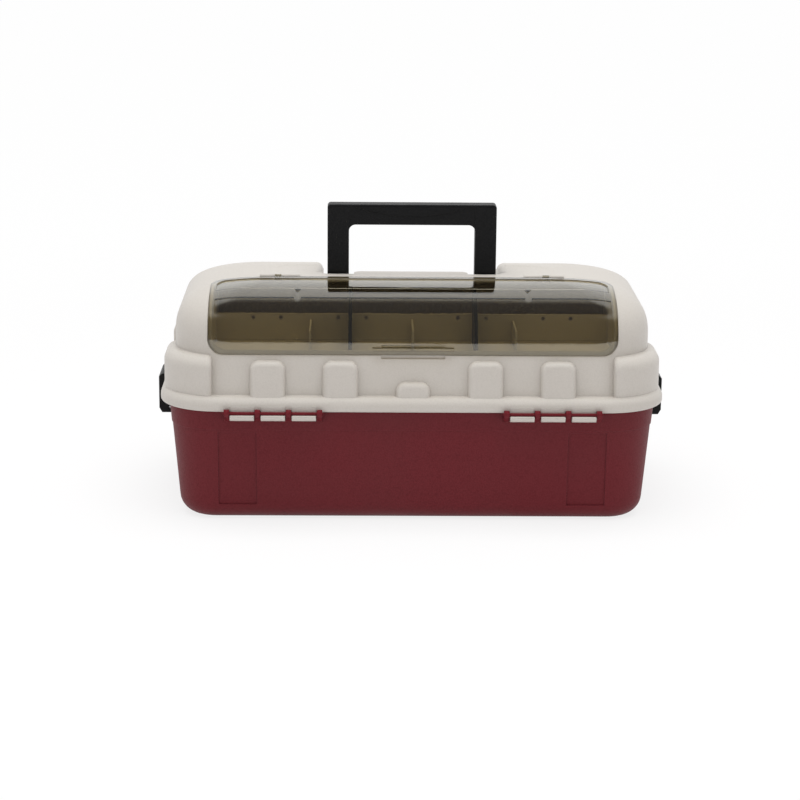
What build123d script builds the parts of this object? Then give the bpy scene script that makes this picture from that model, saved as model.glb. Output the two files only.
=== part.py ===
"""Tackle box: a drafted base tub, a domed lid with a clear window over a top bay, and two level trays.

X runs along the box, the hinge side faces -Y and the box stands on Z = 0, with the origin at the
middle of its underside. All lengths are millimetres.
"""
from build123d import *
import math
import os

# Overall sizes
RIM_LENGTH = 450.0
RIM_DEPTH = 250.0
CROWN_TOP = 207.0
WALL = 2.6

# Clearances and cuts
RUNNING_FIT = 0.08
SIDE_PLAY = 0.4
SEAT_GAP = 0.3
OVERRUN = 6.0

# Base tub
RIM_OVERHANG = 7.8
BASE_CORNER = 42.0
BASE_TOP = 106.6
BASE_DRAFT = 5.0
BASE_FLOOR = 3.0
FOOT_ROUND = 18.0
BELT_LOW = 85.0
BELT_PROUD = 0.7
STRIP_END = 45.2
STRIP_WIDTH = 34.0
STRIP_LOW = 15.0
STRIP_HIGH = 83.0
STRIP_DEPTH = 1.2

# Lid rim, skirt and dome
RIM_BOTTOM = 103.6
RIM_TOP = 116.0
RIM_CORNER = 54.0
RIM_TOP_ROUND = 7.0
RIM_FOOT_ROUND = 2.2
SKIRT_INSET = 12.0
SKIRT_CORNER = 48.0
SHOULDER = 150.0
SHOULDER_IN_X = 0.5
SHOULDER_IN_Y = 7.0
DOME_CORNER = 52.0
CROWN_CORNER = 18.0
CROWN_HALF_LENGTH = 124.5
CROWN_HALF_DEPTH = 22.0
END_POWER = 1.8
SLOPE_POWER = 1.3
DOME_ANGLES = (0, 14, 28, 42, 56, 68, 76, 83, 90)

# Corner blocks and pads on the skirt
BLOCK_PROUD_X = 9.0
BLOCK_PROUD_Y = 6.0
BLOCK_TOP_ROUND = 11.0
BLOCK_REACH = 36.0
BLOCK_ROUND = 4.0
LATCH_BAY = 38.0
PAD_PITCH = 64.0
PAD_WIDTH = 34.0
PAD_TOP = 148.0
PAD_PROUD = 7.0
PAD_CORNER = 9.5
PAD_ROUND = 5.0
PAD_DRAFT = 6.0
PAD_LEAN = 8.0
LOW_PAD_WIDTH = 33.0
LOW_PAD_TOP = 129.5

# Lid hinge
HINGE_OUT = 3.5
HINGE_DROP = 0.4
HINGE_END = 102.3
POST_PITCH = 27.1
POST_WIDTH = 4.6
POST_ROUND = 3.7
POST_NECK_TOP = 1.6
POST_NECK_HEIGHT = 9.0
ROD_RADIUS = 1.6
ROD_OVERHANG = 1.2
HOOK_RADIUS = 6.3
HOOK_BACK = 3.0
HOOK_LIP_DROP = 1.2
HOOK_GAP = 0.7

# Window, its bay and its cover
WINDOW_END = 31.5
WINDOW_BOTTOM = 151.0
WINDOW_CORNER = 13.0
WINDOW_BACK_CORNER = 9.0
COVER_WALL = 2.2
COVER_BORDER = 5.0
COVER_BORDER_PROUD = 1.0
COVER_LIP = 14.0
RIDGE_REACH = 27.0
RIDGE_WIDTH = 14.5
LEDGE_WIDTH = 4.0
LEDGE_WALL = 2.0
BAY_FLOOR = 151.0
BAY_REACH = 58.0
BAY_WALL = 2.6
BAY_WALL_TOP = 176.5
BAY_SHELF = 165.0
LURE_HOLE_SHARES = (0.234, 0.376, 0.667, 0.808)
LURE_HOLE_RADIUS = 1.8
LURE_HOLE_DROP = 3.6
TAB_HALF = 36.0
TAB_PROUD = 5.0
TAB_HEIGHT = 2.4
TAB_LIFT = 4.8
TAB_SLOT_HALF = 28.0
TAB_SLOT_HEIGHT = 1.4
SCOOP_DROP = 3.0
SCOOP_DEPTH = 1.6
COVER_REACH = 74.0
COVER_AXIS_LIFT = 0.4
BEAD_RADIUS = 2.0
BEAD_INSIDE = 20.0
BEAD_OUTSIDE = 16.5
EYE_PLACE = 121.0
EYE_WIDTH = 6.0
COVER_PIN_RADIUS = 0.8
GROOVE_PLACE_SHARE = 0.579
GROOVE_WIDTH = 6.6
GROOVE_DEPTH = 1.5
GROOVE_STEP_SHARES = (0.25, 0.5, 0.75, 1.0)
DIVIDER_WALL = 1.6
LOW_DIVIDER_SHARES = (-0.514, 0.0, 0.514)
LOW_DIVIDER_TOP = 171.0
TALL_DIVIDER_WALL = 3.0
TALL_DIVIDER_SHARES = (-0.314, 0.314)

# Handle and its recess
HANDLE_BEHIND = 26.0
HANDLE_AXIS_Z = 193.0
HANDLE_HALF = 76.8
HANDLE_LEG = 19.5
HANDLE_TOP = 270.0
HANDLE_BAR = 18.6
HANDLE_THICK = 18.0
HANDLE_EDGE = 2.0
HANDLE_CORNER = 3.0
HANDLE_INNER_CORNER = 6.0
HANDLE_RELIEF = 0.8
HANDLE_RELIEF_SAG = 10.5
HANDLE_PIN_RADIUS = 3.0
HANDLE_BOSS_RADIUS = 6.0
HANDLE_BOSS_LENGTH = 6.0
HANDLE_PIN_BITE = 14.0
RECESS_SIDE_GAP = 5.2
RECESS_END_GAP = 3.0
RECESS_CORNER = 7.0
RECESS_MOUTH_ROUND = 6.0
MOUTH_RUN_SHARES = (0.0, 0.12, 0.24, 0.36, 0.5, 0.7)
ISLAND_GAP = 4.5
ISLAND_FRONT_GAP = 3.0
ISLAND_DEPTH = 28.0
ISLAND_DROP = 7.5

# Latches
LATCH_WIDTH = 46.0
LATCH_GAP = 0.8
LATCH_PLATE = 5.2
LATCH_TOP_DROP = 2.0
LATCH_CHAMFER = 2.6
LATCH_NIB_GAP = 0.4
LATCH_NIB_HEIGHT = 3.0
LATCH_NIB_SLOPE = 1.0
LATCH_PIVOT_IN = 4.0
LATCH_PIVOT_Z = 82.0
LATCH_BARREL = 4.4
LATCH_WEB_DROP = 4.0
LUG_WIDTH = 19.2
LUG_NECK = 3.0
LATCH_PIN_RADIUS = 1.6
LATCH_PIN_LENGTH = 40.0

# Trays, arms and hangers
TRAY_TOP = 124.0
TRAY_HEIGHT = 40.0
TRAY_FRONT_GAP = 17.2
TRAY_BACK_GAP = 13.2
TRAY_SPACE = 11.0
TRAY_PIN_IN = 24.5
TRAY_WALL = 2.2
TRAY_DRAFT = 4.0
TRAY_CORNER = 9.0
TRAY_BOSS_RADIUS = 5.5
TRAY_BOSS_DEPTH = 7.0
TRAY_DIVIDER_DROP = 4.0
TRAY_DIVIDER_SHARES = (-0.25, 0.0, 0.25)
GUIDE_RIB = 1.4
HANGER_STANDOFF = 4.4
HANGER_PLATE = 3.0
HANGER_WIDTH = 14.0
HANGER_TOP = 145.0
HANGER_SCREWS = (-30.0, 15.0)
HANGER_SCREW_Z = 138.0
HANGER_BOSS_RADIUS = 5.0
SCREW_RADIUS = 1.7
SCREW_HEAD_RADIUS = 3.2
SCREW_HEAD = 1.2
SCREW_BITE = 2.0
LAYER_GAP = 2.0
ARM_PLATE = 3.0
ARM_WIDTH = 12.0
ARM_GAP = 1.0
ARM_SHIFT_Y = 40.0
ARM_SHIFT_Z = -12.0
REAR_PIN_LIFT = 12.0
LINK_PIN_RADIUS = 2.5
LINK_PIN_BITE = 6.5
ANCHOR_RADIUS = 3.0
ANCHOR_BITE = 4.5
ANCHOR_BOSS_RADIUS = 6.5

# Worked out from the sizes above
BASE_LENGTH = RIM_LENGTH - 2 * RIM_OVERHANG
BASE_DEPTH = RIM_DEPTH - 2 * RIM_OVERHANG
SKIRT_LENGTH = RIM_LENGTH - 2 * SKIRT_INSET
SKIRT_DEPTH = RIM_DEPTH - 2 * SKIRT_INSET
STRIP_INNER = BASE_LENGTH / 2 - STRIP_END - STRIP_WIDTH
DOME_LENGTH = SKIRT_LENGTH - 2 * SHOULDER_IN_X
DOME_DEPTH = SKIRT_DEPTH - 2 * SHOULDER_IN_Y
END_ROUND = DOME_LENGTH / 2 - CROWN_HALF_LENGTH
SLOPE_ROUND = DOME_DEPTH / 2 - CROWN_HALF_DEPTH
BLOCK_START = SKIRT_LENGTH / 2 - BLOCK_REACH
HINGE_PLACE = RIM_LENGTH / 2 - HINGE_END
HINGE_Y = -RIM_DEPTH / 2 - HINGE_OUT
HINGE_Z = RIM_BOTTOM - HINGE_DROP
FAR = RIM_LENGTH + RIM_DEPTH
COVER_AXIS_Y = -DOME_DEPTH / 2 + COVER_REACH
WINDOW_HALF = DOME_LENGTH / 2 - WINDOW_END
WINDOW_BACK = COVER_AXIS_Y - BEAD_RADIUS - SIDE_PLAY
COVER_SEAT = COVER_WALL + SEAT_GAP
RIDGE_FRONT = -DOME_DEPTH / 2 + RIDGE_REACH
BEAD_INNER = EYE_PLACE - BEAD_INSIDE
BEAD_OUTER = EYE_PLACE + BEAD_OUTSIDE
BAY_HALF = WINDOW_HALF - LEDGE_WIDTH
BAY_BACK = -DOME_DEPTH / 2 + BAY_REACH
HANDLE_AXIS_Y = COVER_AXIS_Y + HANDLE_BEHIND
RECESS_HALF = HANDLE_HALF + RECESS_SIDE_GAP
RECESS_FRONT = HANDLE_AXIS_Y - HANDLE_THICK / 2 - RECESS_END_GAP
RECESS_FLOOR = HANDLE_AXIS_Z - HANDLE_THICK / 2 - RECESS_END_GAP
HANDLE_PIN_END = RECESS_HALF + WALL + HANDLE_BOSS_LENGTH
SHELF_BACK = RECESS_FRONT - WALL
LATCH_PIVOT_X = RIM_LENGTH / 2 - LATCH_PIVOT_IN
END_WALL = SKIRT_LENGTH / 2 - WALL
HANGER_OUTER = END_WALL - HANGER_STANDOFF
HANGER_INNER = HANGER_OUTER - HANGER_PLATE
ARM_OUTER = HANGER_INNER - LAYER_GAP
ARM_INNER = ARM_OUTER - ARM_PLATE
TRAY_FACE = ARM_INNER - ARM_GAP
TRAY_HALF = TRAY_FACE - ARM_GAP
TRAY_FLOOR = TRAY_TOP - TRAY_HEIGHT
TRAY_FRONT = -BASE_DEPTH / 2 + TRAY_FRONT_GAP
TRAY_DEPTH = (BASE_DEPTH - TRAY_FRONT_GAP - TRAY_BACK_GAP - TRAY_SPACE) / 2
FRONT_TRAY_MIDDLE = TRAY_FRONT + TRAY_DEPTH / 2
REAR_TRAY_MIDDLE = FRONT_TRAY_MIDDLE + TRAY_DEPTH + TRAY_SPACE
FRONT_REACH = TRAY_FRONT + TRAY_PIN_IN - HINGE_Y
REAR_REACH = FRONT_REACH + TRAY_DEPTH + TRAY_SPACE
REAR_PIN = (HINGE_Y + REAR_REACH, HINGE_Z + REAR_PIN_LIFT)
FRONT_PIN = (HINGE_Y + FRONT_REACH, HINGE_Z + REAR_PIN_LIFT * FRONT_REACH / REAR_REACH)
ANCHOR = (HINGE_Y + ARM_SHIFT_Y, HINGE_Z + ARM_SHIFT_Z)
FRONT_ARM_PIN = (FRONT_PIN[0] + ARM_SHIFT_Y, FRONT_PIN[1] + ARM_SHIFT_Z)
REAR_ARM_PIN = (REAR_PIN[0] + ARM_SHIFT_Y, REAR_PIN[1] + ARM_SHIFT_Z)


def slab(x, y, z):
    """Box between two limits along each axis."""
    size = Box(x[1] - x[0], y[1] - y[0], z[1] - z[0], align=Align.MIN)
    return Pos(x[0], y[0], z[0]) * size


def rod_x(radius, x, y, z):
    """Round bar along X between two limits."""
    bar = Cylinder(radius, x[1] - x[0], align=(Align.CENTER, Align.CENTER, Align.MIN))
    return Pos(x[0], y, z) * Rot(0, 90, 0) * bar


def rod_y(radius, y, x, z):
    """Round bar along Y between two limits."""
    bar = Cylinder(radius, y[1] - y[0], align=(Align.CENTER, Align.CENTER, Align.MIN))
    return Pos(x, y[0], z) * Rot(-90, 0, 0) * bar


def plan_block(length, depth, corner, z):
    """Upright block with a rounded plan."""
    return extrude(Pos(0, 0, z[0]) * RectangleRounded(length, depth, corner), z[1] - z[0])


def both_ends(piece):
    """The piece and its mirror image at the other end of the box."""
    return piece + mirror(piece, about=Plane.YZ)


def side_plate(points, x):
    """Plate with an outline given as Y and Z, between two limits along X."""
    outline = make_face(Polyline(*[(x[0], y, z) for y, z in points], close=True))
    return extrude(outline, x[1] - x[0], dir=(1, 0, 0))


# Base tub


def tub_block(inset, z):
    """Block with the tub's drafted outside, drawn in by an inset."""
    draw = inset + (BASE_TOP - z[0]) * math.tan(math.radians(BASE_DRAFT))
    plan = RectangleRounded(BASE_LENGTH - 2 * draw, BASE_DEPTH - 2 * draw, BASE_CORNER - draw)
    return extrude(Pos(0, 0, z[0]) * plan, z[1] - z[0], taper=-BASE_DRAFT)


def round_foot(block, radius):
    """Rounds the lowest edges of a block."""
    return fillet(block.faces().sort_by(Axis.Z)[0].edges(), radius)


def tub_half_length(z, inset):
    """Half length of the tub at a height."""
    return BASE_LENGTH / 2 - inset - (BASE_TOP - z) * math.tan(math.radians(BASE_DRAFT))


def post_places():
    """Places of the hinge posts along X, both hinge groups."""
    steps = [(step - 1.5) * POST_PITCH for step in range(4)]
    return [side * HINGE_PLACE + step for side in (-1, 1) for step in steps]


def hinge_post(place):
    """Round-nosed post that holds the hinge rod in front of the rim."""
    x = (place - POST_WIDTH / 2, place + POST_WIDTH / 2)
    neck_top = HINGE_Z - POST_NECK_TOP
    wall = -BASE_DEPTH / 2 + WALL
    outline = [
        (HINGE_Y, neck_top),
        (wall, neck_top),
        (wall, neck_top - POST_NECK_HEIGHT),
        (HINGE_Y, HINGE_Z - POST_ROUND),
    ]
    return rod_x(POST_ROUND, x, HINGE_Y, HINGE_Z) + side_plate(outline, x)


def strip_cut(side, face):
    """Shallow upright strip in the front or back wall."""
    inner = side * STRIP_INNER
    outer = side * (STRIP_INNER + STRIP_WIDTH)
    x = (min(inner, outer), max(inner, outer))
    y = (-FAR, 0) if face < 0 else (0, FAR)
    return slab(x, y, (STRIP_LOW, STRIP_HIGH)) - tub_block(BELT_PROUD + STRIP_DEPTH, (0, BASE_TOP))


def latch_lug():
    """Lug on the end wall that carries the latch pin."""
    y = (-LUG_WIDTH / 2, LUG_WIDTH / 2)
    root = tub_half_length(LATCH_PIVOT_Z, WALL)
    neck = slab((root, LATCH_PIVOT_X), y, (LATCH_PIVOT_Z - LUG_NECK, LATCH_PIVOT_Z + LUG_NECK))
    lug = neck + rod_y(LATCH_BARREL, y, LATCH_PIVOT_X, LATCH_PIVOT_Z)
    return lug - rod_y(LATCH_PIN_RADIUS, (-FAR, FAR), LATCH_PIVOT_X, LATCH_PIVOT_Z)


def anchor_boss():
    """Boss inside the end wall that carries the arm's anchor pin."""
    boss = rod_x(ANCHOR_BOSS_RADIUS, (ARM_OUTER + SIDE_PLAY, BASE_LENGTH / 2), *ANCHOR)
    return boss & tub_block(BELT_PROUD + WALL / 2, (0, BASE_TOP))


def base_tub():
    """Burgundy tub with its hinge posts, latch lugs and arm bosses."""
    tub = round_foot(tub_block(BELT_PROUD, (0, BELT_LOW)), FOOT_ROUND)
    tub += tub_block(0, (BELT_LOW, BASE_TOP))
    for side in (-1, 1):
        for face in (-1, 1):
            tub -= strip_cut(side, face)
    cavity = tub_block(BELT_PROUD + WALL, (BASE_FLOOR, BASE_TOP + OVERRUN))
    tub -= round_foot(cavity, FOOT_ROUND - WALL)
    for place in post_places():
        tub += hinge_post(place)
    tub -= rod_x(ROD_RADIUS, (-FAR, FAR), HINGE_Y, HINGE_Z)
    tub += both_ends(latch_lug()) + both_ends(anchor_boss())
    anchor_end = ARM_OUTER + ANCHOR_BITE
    return tub - rod_x(ANCHOR_RADIUS, (-anchor_end, anchor_end), *ANCHOR)


def hinge_rod(side):
    """Rod through one group of four posts."""
    reach = 1.5 * POST_PITCH + POST_WIDTH / 2 + ROD_OVERHANG
    middle = side * HINGE_PLACE
    return rod_x(ROD_RADIUS, (middle - reach, middle + reach), HINGE_Y, HINGE_Z)


# Lid shell


def dome(inset):
    """Smooth dome above the shoulder, drawn in by an inset."""
    sections = []
    for degrees in DOME_ANGLES:
        angle = math.radians(degrees)
        drawn = 1 - math.cos(angle)
        half_x = DOME_LENGTH / 2 - inset - END_ROUND * drawn**END_POWER
        half_y = DOME_DEPTH / 2 - inset - SLOPE_ROUND * drawn**SLOPE_POWER
        corner = DOME_CORNER - inset - (DOME_CORNER - CROWN_CORNER) * drawn
        height = SHOULDER + (CROWN_TOP - SHOULDER - inset) * math.sin(angle)
        sections.append(Pos(0, 0, height) * RectangleRounded(2 * half_x, 2 * half_y, corner))
    return loft(sections)


def dome_height(y):
    """Height of the dome's long slope over a place along Y."""
    drawn = min(1.0, (DOME_DEPTH / 2 - abs(y)) / SLOPE_ROUND) ** (1 / SLOPE_POWER)
    return SHOULDER + (CROWN_TOP - SHOULDER) * math.sin(math.acos(1 - drawn))


COVER_AXIS_Z = dome_height(COVER_AXIS_Y) + COVER_AXIS_LIFT


def skirt(inset, low):
    """Leaning skirt between the rim and the shoulder."""
    foot = RectangleRounded(SKIRT_LENGTH - 2 * inset, SKIRT_DEPTH - 2 * inset, SKIRT_CORNER - inset)
    head = RectangleRounded(DOME_LENGTH - 2 * inset, DOME_DEPTH - 2 * inset, DOME_CORNER - inset)
    return loft([Pos(0, 0, low) * foot, Pos(0, 0, SHOULDER) * head], ruled=True)


def skirt_half_length(z):
    """Half length of the skirt's outside at a height."""
    share = (z - RIM_TOP) / (SHOULDER - RIM_TOP)
    return SKIRT_LENGTH / 2 - SHOULDER_IN_X * share


def outer_side_edge(edge):
    """Whether an edge runs up the outside of a corner block beside the pads or the latch."""
    middle = edge.center()
    beside_pads = abs(abs(middle.X) - BLOCK_START) < WALL + SIDE_PLAY and abs(middle.Y) > DOME_DEPTH / 2
    beside_latch = abs(abs(middle.Y) - LATCH_BAY) < WALL + SIDE_PLAY and abs(middle.X) > DOME_LENGTH / 2
    upright = edge.bounding_box().size.Z > WALL
    return upright and (beside_pads or beside_latch)


def corner_blocks(inset):
    """Four blocks that wrap the skirt's corners, rounded off at the top."""
    length = SKIRT_LENGTH + 2 * BLOCK_PROUD_X - 2 * inset
    depth = SKIRT_DEPTH + 2 * BLOCK_PROUD_Y - 2 * inset
    low = RIM_TOP - RIM_TOP_ROUND if inset == 0 else RIM_TOP - WALL
    block = plan_block(length, depth, RIM_CORNER - inset, (low, SHOULDER - inset))
    block = fillet(block.faces().sort_by(Axis.Z)[-1].edges(), BLOCK_TOP_ROUND)
    front = BLOCK_START + inset
    end = LATCH_BAY + inset
    block -= slab((-front, front), (-FAR, FAR), (0, FAR))
    block -= slab((-FAR, FAR), (-end, end), (0, FAR))
    return fillet(block.edges().filter_by(outer_side_edge), BLOCK_ROUND - inset)


def pad(place, width, top, inset):
    """Leaning pad on the front of the skirt, with rounded upper corners."""
    lean = math.radians(PAD_LEAN)
    height = 2 * (top - RIM_TOP)
    face = Plane(
        origin=(place, -SKIRT_DEPTH / 2, RIM_TOP),
        x_dir=(1, 0, 0),
        z_dir=(0, -math.cos(lean), math.sin(lean)),
    )
    root = SKIRT_INSET
    outline = RectangleRounded(width - 2 * inset, height - 2 * inset, PAD_CORNER - inset)
    block = extrude(face.offset(-root) * outline, root + PAD_PROUD - inset, taper=PAD_DRAFT)
    outer = block.faces().sort_by(Axis.Y)[0]
    block = fillet(outer.edges(), PAD_ROUND - inset / 2)
    return block & slab((-FAR, FAR), (-FAR, 0), (RIM_TOP - WALL, FAR))


def pads(inset):
    """All pads of the front, and their mirror images on the back."""
    row = pad(0, LOW_PAD_WIDTH, LOW_PAD_TOP, inset)
    for step in (-2, -1, 1, 2):
        row += pad(step * PAD_PITCH, PAD_WIDTH, PAD_TOP, inset)
    return row + mirror(row, about=Plane.XZ)


def rim():
    """Bulged rim round the lid's foot."""
    block = plan_block(RIM_LENGTH, RIM_DEPTH, RIM_CORNER, (RIM_BOTTOM, RIM_TOP))
    block = fillet(block.faces().sort_by(Axis.Z)[-1].edges(), RIM_TOP_ROUND)
    return round_foot(block, RIM_FOOT_ROUND)


def window_region(shrink):
    """Space over the window, drawn in by a shrink."""
    half = WINDOW_HALF - shrink
    low = WINDOW_BOTTOM + shrink
    front = RectangleRounded(2 * half, 2 * (CROWN_TOP - low), WINDOW_CORNER)
    front_prism = extrude(Plane.XZ * Pos(0, CROWN_TOP) * front, RIM_DEPTH)
    back = WINDOW_BACK - shrink
    top = RectangleRounded(2 * half, 2 * (RIM_DEPTH + back), WINDOW_BACK_CORNER)
    top_prism = extrude(Pos(0, -RIM_DEPTH) * top, FAR)
    return front_prism & top_prism


def bay_space():
    """Hollow of the bay: the deep trough, and the dark space over its back shelf."""
    x = (-BAY_HALF, BAY_HALF)
    wall_back = BAY_BACK + BAY_WALL
    space = slab(x, (-FAR, BAY_BACK), (BAY_FLOOR, FAR))
    space += slab(x, (BAY_BACK, wall_back), (BAY_WALL_TOP, FAR))
    space += slab(x, (wall_back, SHELF_BACK), (BAY_SHELF, FAR))
    return space & dome(COVER_SEAT + LEDGE_WALL)


def bay_jacket():
    """The bay's hollow with its walls, which the lid's own hollow leaves standing."""
    half = WINDOW_HALF + BAY_WALL
    trough = slab((-half, half), (-FAR, BAY_BACK + BAY_WALL), (BAY_FLOOR - BAY_WALL, FAR))
    shelf = slab((-half, half), (-FAR, SHELF_BACK + WALL), (BAY_SHELF - BAY_WALL, FAR))
    return trough + shelf


def recess_space(grow):
    """Hollow that takes the folded handle round a central island and runs out at the back slope."""
    half = RECESS_HALF + grow
    front = RECESS_FRONT - grow
    back = RIM_DEPTH / 2
    pocket = plan_block(2 * half, back - front, RECESS_CORNER + grow, (RECESS_FLOOR - grow, FAR))
    pocket = Pos(0, (front + back) / 2, 0) * pocket
    island_half = HANDLE_HALF - HANDLE_LEG - ISLAND_GAP - grow
    island_front = HANDLE_AXIS_Y + HANDLE_THICK / 2 + ISLAND_FRONT_GAP + grow
    island_back = island_front + ISLAND_DEPTH - 2 * grow
    island_top = CROWN_TOP - ISLAND_DROP - grow
    island = plan_block(2 * island_half, island_back - island_front, RECESS_CORNER - grow, (0, island_top))
    return pocket - Pos(0, (island_front + island_back) / 2, 0) * island


def mouth_run(start, end):
    """Straight run of the cut that rounds a side of the recess, between two places along Y."""
    drop = dome_height(start) - dome_height(end)
    y = (0, math.hypot(end - start, drop) + OVERRUN)
    edge = RECESS_HALF + RECESS_MOUTH_ROUND
    cut = slab((RECESS_HALF - SIDE_PLAY, edge), y, (-RECESS_MOUTH_ROUND, FAR))
    cut -= rod_y(RECESS_MOUTH_ROUND, y, edge, -RECESS_MOUTH_ROUND)
    lean = math.degrees(math.atan2(drop, end - start))
    return Pos(0, start, dome_height(start)) * Rot(-lean, 0, 0) * cut


def recess_mouth():
    """Cut that rounds the upper edges along the sides of the handle recess, down the back slope."""
    places = [RECESS_FRONT + RECESS_CORNER]
    places += [CROWN_HALF_DEPTH + share * SLOPE_ROUND for share in MOUTH_RUN_SHARES]
    cut = Part()
    for start, end in zip(places, places[1:]):
        cut += mouth_run(start, end)
    return both_ends(cut & slab((0, FAR), (-FAR, FAR), (RECESS_FLOOR, FAR)))


def lid_hollow():
    """Space under the lid that takes the trays, clear of the bay and the handle recess."""
    hollow = skirt(WALL, RIM_TOP - WALL) + dome(WALL) + corner_blocks(WALL) + pads(WALL)
    return hollow - bay_jacket() - recess_space(WALL)


def rim_channel():
    """Opening of the lid's foot, with the groove that drops over the base's edge."""
    lip_length = RIM_LENGTH - 2 * WALL
    lip_depth = RIM_DEPTH - 2 * WALL
    lip_corner = RIM_CORNER - WALL
    top = RIM_TOP - WALL
    seat = BASE_TOP + SEAT_GAP
    groove = plan_block(lip_length, lip_depth, lip_corner, (RIM_BOTTOM - OVERRUN, top))
    ring = plan_block(BASE_LENGTH, BASE_DEPTH, BASE_CORNER, (seat, top))
    mouth = plan_block(BASE_LENGTH - 2 * WALL, BASE_DEPTH - 2 * WALL, BASE_CORNER - WALL, (seat, top))
    return groove - (ring - mouth)


def hinge_hook(place):
    """Hook under the rim that cradles the rod between two posts."""
    half = (POST_PITCH - POST_WIDTH) / 2 - HOOK_GAP
    x = (place - half, place + half)
    ring = rod_x(HOOK_RADIUS, x, HINGE_Y, HINGE_Z)
    ring -= slab(x, (-FAR, HINGE_Y + HOOK_BACK), (HINGE_Z - HOOK_LIP_DROP, FAR))
    web = slab(x, (HINGE_Y + HOOK_BACK, HINGE_Y + HOOK_RADIUS), (HINGE_Z, RIM_BOTTOM + RIM_FOOT_ROUND))
    return ring + web - rod_x(ROD_RADIUS + RUNNING_FIT, x, HINGE_Y, HINGE_Z)


def cover_beads():
    """Low beads on the roof that hold the cover's pins, slotted for the cover's eyes."""
    bead = rod_x(BEAD_RADIUS, (BEAD_INNER, BEAD_OUTER), COVER_AXIS_Y, COVER_AXIS_Z)
    return both_ends(bead)


def eye_slots():
    """Slots through bead and roof for the cover's eyes."""
    half = EYE_WIDTH / 2 + SIDE_PLAY
    reach = BEAD_RADIUS + SIDE_PLAY
    slot = slab(
        (EYE_PLACE - half, EYE_PLACE + half),
        (WINDOW_BACK - OVERRUN, COVER_AXIS_Y + reach),
        (COVER_AXIS_Z - reach - WALL, FAR),
    )
    return both_ends(slot)


def handle_bosses():
    """Bosses beside the recess that hold the handle's pins."""
    x = (RECESS_HALF + WALL / 2, HANDLE_PIN_END)
    return both_ends(rod_x(HANDLE_BOSS_RADIUS, x, HANDLE_AXIS_Y, HANDLE_AXIS_Z))


def hanger_bosses():
    """Bosses inside the lid's ends that the tray hangers screw to."""
    x = (HANGER_OUTER, skirt_half_length(HANGER_SCREW_Z) - WALL / 2)
    front, back = (rod_x(HANGER_BOSS_RADIUS, x, place, HANGER_SCREW_Z) for place in HANGER_SCREWS)
    return both_ends(front + back)


def lure_holes():
    """Small hanging holes along the top of the bay's middle wall."""
    height = BAY_WALL_TOP - LURE_HOLE_DROP
    y = (BAY_BACK - OVERRUN, BAY_BACK + BAY_WALL + OVERRUN)
    holes = Part()
    for share in LURE_HOLE_SHARES:
        holes += both_ends(rod_y(LURE_HOLE_RADIUS, y, BAY_HALF * share, height))
    return holes


def finger_scoop():
    """Shallow scoop in the front wall under the cover's tab."""
    y = (-FAR, -DOME_DEPTH / 2 + SCOOP_DEPTH)
    return slab((-TAB_SLOT_HALF, TAB_SLOT_HALF), y, (WINDOW_BOTTOM - SCOOP_DROP, WINDOW_BOTTOM))


def lid_shell():
    """Cream lid with its rim, pads, window bay, handle recess and hinge hooks."""
    outside = rim() + skirt(0, RIM_TOP - RIM_TOP_ROUND) + dome(0) + corner_blocks(0) + pads(0)
    seat = window_region(0) & (dome(-OVERRUN) - dome(COVER_SEAT))
    opening = window_region(LEDGE_WIDTH) & (dome(-OVERRUN) - dome(COVER_SEAT + 2 * LEDGE_WALL))
    lid = outside - lid_hollow() - rim_channel()
    lid = lid - bay_space() - seat - opening - recess_space(0) - recess_mouth()
    lid += cover_beads()
    lid -= eye_slots()
    lid -= rod_x(COVER_PIN_RADIUS, (-BEAD_OUTER, BEAD_OUTER), COVER_AXIS_Y, COVER_AXIS_Z)
    lid -= lure_holes()
    lid -= finger_scoop()
    lid += handle_bosses()
    lid -= rod_x(HANDLE_PIN_RADIUS, (-HANDLE_PIN_END, HANDLE_PIN_END), HANDLE_AXIS_Y, HANDLE_AXIS_Z)
    lid += hanger_bosses()
    screw_end = HANGER_OUTER + SCREW_BITE
    for place in HANGER_SCREWS:
        lid -= rod_x(SCREW_RADIUS, (-screw_end, screw_end), place, HANGER_SCREW_Z)
    for side in (-1, 1):
        for step in (-1, 0, 1):
            lid += hinge_hook(side * HINGE_PLACE + step * POST_PITCH)
    return lid


# Window cover


def cover_grooves():
    """V-shaped grooves, cut in steps, that part the cover into three panels."""
    place = BAY_HALF * GROOVE_PLACE_SHARE
    y = (-FAR, RIDGE_FRONT + RIDGE_WIDTH)
    z = (WINDOW_BOTTOM + COVER_LIP, FAR)
    grooves = Part()
    for share in GROOVE_STEP_SHARES:
        half = GROOVE_WIDTH / 2 * (1 - share) + SIDE_PLAY
        cut = slab((place - half, place + half), y, z)
        grooves += both_ends(cut & (dome(-OVERRUN) - dome(GROOVE_DEPTH * share)))
    return grooves


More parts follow.
